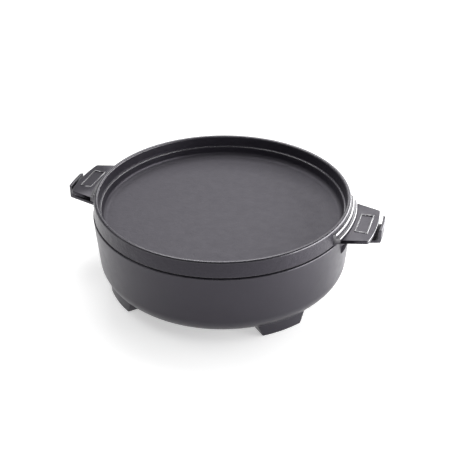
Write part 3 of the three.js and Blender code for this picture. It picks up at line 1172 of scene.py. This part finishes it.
class CAMPPOT_OT_lid_handles(bpy.types.Operator):
    """Make the two lid handles with their steps and bare frames"""

    bl_idname = "camp_pot.lid_handles"
    bl_label = "Lid handles"

    def execute(self, context):
        scene = context.scene
        metal = lid_handle_iron(scene.camp_pot_finish)
        for side in ("right", "left"):
            node = f"lid_handle_{side}"
            parts = lid_handle_shapes(scene.camp_pot_lid, scene.camp_pot_lid_handle)
            add_piece(
                parts, f"lid_grip_{side}", "lid", metal, [node], heading(node))
        return {"FINISHED"}


# Studio

def seen_directly(tree, path):
    """One for rays from the camera and for rays that a surface mirrors or lets through."""
    seen = math_node(
        tree, "MAXIMUM", path.outputs["Is Camera Ray"], path.outputs["Is Glossy Ray"])
    return math_node(tree, "MAXIMUM", seen, path.outputs["Is Transmission Ray"])


def floor_material(colour):
    """Matt floor to which the camera and reflections see an even white added."""
    material = bpy.data.materials.new("studio_floor")
    material.use_nodes = True
    tree = material.node_tree
    path = tree.nodes.new("ShaderNodeLightPath")
    feed(tree, tree.nodes["Principled BSDF"], {
        "Base Color": toned(colour, 1),
        "Roughness": 0.9,
        "Specular IOR Level": 0.0,
        "Emission Color": (1, 1, 1, 1),
        "Emission Strength": times(tree, seen_directly(tree, path), FLOOR_GLOW),
    })
    material.cycles.emission_sampling = "NONE"
    return material


def studio_world():
    """A white backdrop all round, under a dimmer ceiling that only reflections show."""
    world = bpy.data.worlds.new("studio")
    world.use_nodes = True
    tree = world.node_tree
    path = tree.nodes.new("ShaderNodeLightPath")
    place = tree.nodes.new("ShaderNodeTexCoord").outputs["Generated"]
    ceiling = range_node(
        tree, height_node(tree, place), math.sin(BACKDROP_TOP), math.sin(CEILING_EDGE),
        1.0, CEILING_GLOW)
    seen = times(tree, seen_directly(tree, path), ceiling)
    strength = math_node(tree, "MAXIMUM", seen, path.outputs["Is Camera Ray"])
    feed(tree, tree.nodes["Background"], {"Color": (1, 1, 1, 1), "Strength": strength})
    world.cycles.sampling_method = "NONE"
    bpy.context.scene.world = world


def soft_lamp(name, place, target, width, height, brightness):
    """A rectangular soft lamp that faces a target and that the camera doesn't see."""
    data = bpy.data.lights.new(name, "AREA")
    data.shape = "RECTANGLE"
    data.size = width
    data.size_y = height
    data.energy = math.pi * width * height * brightness
    lamp = add_object(name, data)
    lamp.location = place
    lamp.rotation_euler = (target - place).to_track_quat("-Z", "Y").to_euler()
    lamp.visible_camera = False
    return lamp


def direction(azimuth, elevation):
    """A direction from the pot, azimuth from its front towards its right side."""
    return Vector((
        math.sin(azimuth) * math.cos(elevation),
        -math.cos(azimuth) * math.cos(elevation),
        math.sin(elevation)))


def place_camera(look, target):
    """Stands the camera round a target and turns it to the photo's view."""
    data = bpy.data.cameras.new("camera")
    data.lens = look.lens
    camera = add_object("camera", data)
    back = direction(look.azimuth, look.elevation)
    camera.location = target + back * look.distance
    aim = (-back).to_track_quat("-Z", "Y").to_matrix()
    turn = (
        Matrix.Rotation(-look.roll, 3, "Z")
        @ Matrix.Rotation(-look.yaw, 3, "Y")
        @ Matrix.Rotation(-look.pitch, 3, "X"))
    camera.rotation_euler = (aim @ turn).to_euler()
    bpy.context.scene.camera = camera


class CAMPPOT_OT_stage(bpy.types.Operator):
    """Make the floor, the soft light and the camera"""

    bl_idname = "camp_pot.stage"
    bl_label = "Studio"

    floor_size: size("Floor size", "Half the side of the floor", default=6.0)

    def execute(self, context):
        scene = context.scene
        look = scene.camp_pot_stage
        bm = bmesh.new()
        bmesh.ops.create_grid(bm, x_segments=1, y_segments=1, size=self.floor_size)
        mesh = bpy.data.meshes.new("studio_floor")
        bm.to_mesh(mesh)
        bm.free()
        mesh.materials.append(floor_material(look.floor_colour))
        floor = add_object("studio_floor", mesh)
        studio_world()
        rim = Vector((0, 0, top_of("lid_pan")))
        for name, azimuth, elevation, distance, width, height, brightness, aim in LAMPS:
            target = Vector((0, 0, aim))
            away = direction(look.azimuth + math.radians(azimuth), math.radians(elevation))
            lamp = soft_lamp(name, target + away * distance, target, width, height, brightness)
            lamp.visible_glossy = name != "fill"
        place_camera(look, rim)
        scene.view_settings.view_transform = "Standard"
        return {"FINISHED"}


class CAMPPOT_PT_build(bpy.types.Panel):
    """Lists the steps that build the pot"""

    bl_label = "Camp Pot"
    bl_idname = "CAMPPOT_PT_build"
    bl_space_type = "VIEW_3D"
    bl_region_type = "UI"
    bl_category = "Camp Pot"

    def draw(self, context):
        for operator in OPERATORS:
            self.layout.operator(operator.bl_idname)


GROUPS = {
    "camp_pot": PotSizes,
    "camp_pot_handle": PotHandleSizes,
    "camp_pot_foot": FootSizes,
    "camp_pot_lid": LidSizes,
    "camp_pot_lid_handle": LidHandleSizes,
    "camp_pot_finish": IronFinish,
    "camp_pot_stage": StageLook,
}

OPERATORS = (
    CAMPPOT_OT_pot_body,
    CAMPPOT_OT_pot_handles,
    CAMPPOT_OT_feet,
    CAMPPOT_OT_lid_pan,
    CAMPPOT_OT_lid_handles,
    CAMPPOT_OT_stage,
)

CLASSES = (*GROUPS.values(), *OPERATORS, CAMPPOT_PT_build)


def register():
    for kind in CLASSES:
        bpy.utils.register_class(kind)
    for name, group in GROUPS.items():
        setattr(bpy.types.Scene, name, PointerProperty(type=group))


def unregister():
    for name in GROUPS:
        delattr(bpy.types.Scene, name)
    for kind in reversed(CLASSES):
        bpy.utils.unregister_class(kind)


def main():
    register()
    bpy.ops.camp_pot.pot_body()
    bpy.ops.camp_pot.pot_handles()
    bpy.ops.camp_pot.feet()
    bpy.ops.camp_pot.lid_pan()
    bpy.ops.camp_pot.lid_handles()
    bpy.ops.camp_pot.stage()


if __name__ == "__main__":
    main()
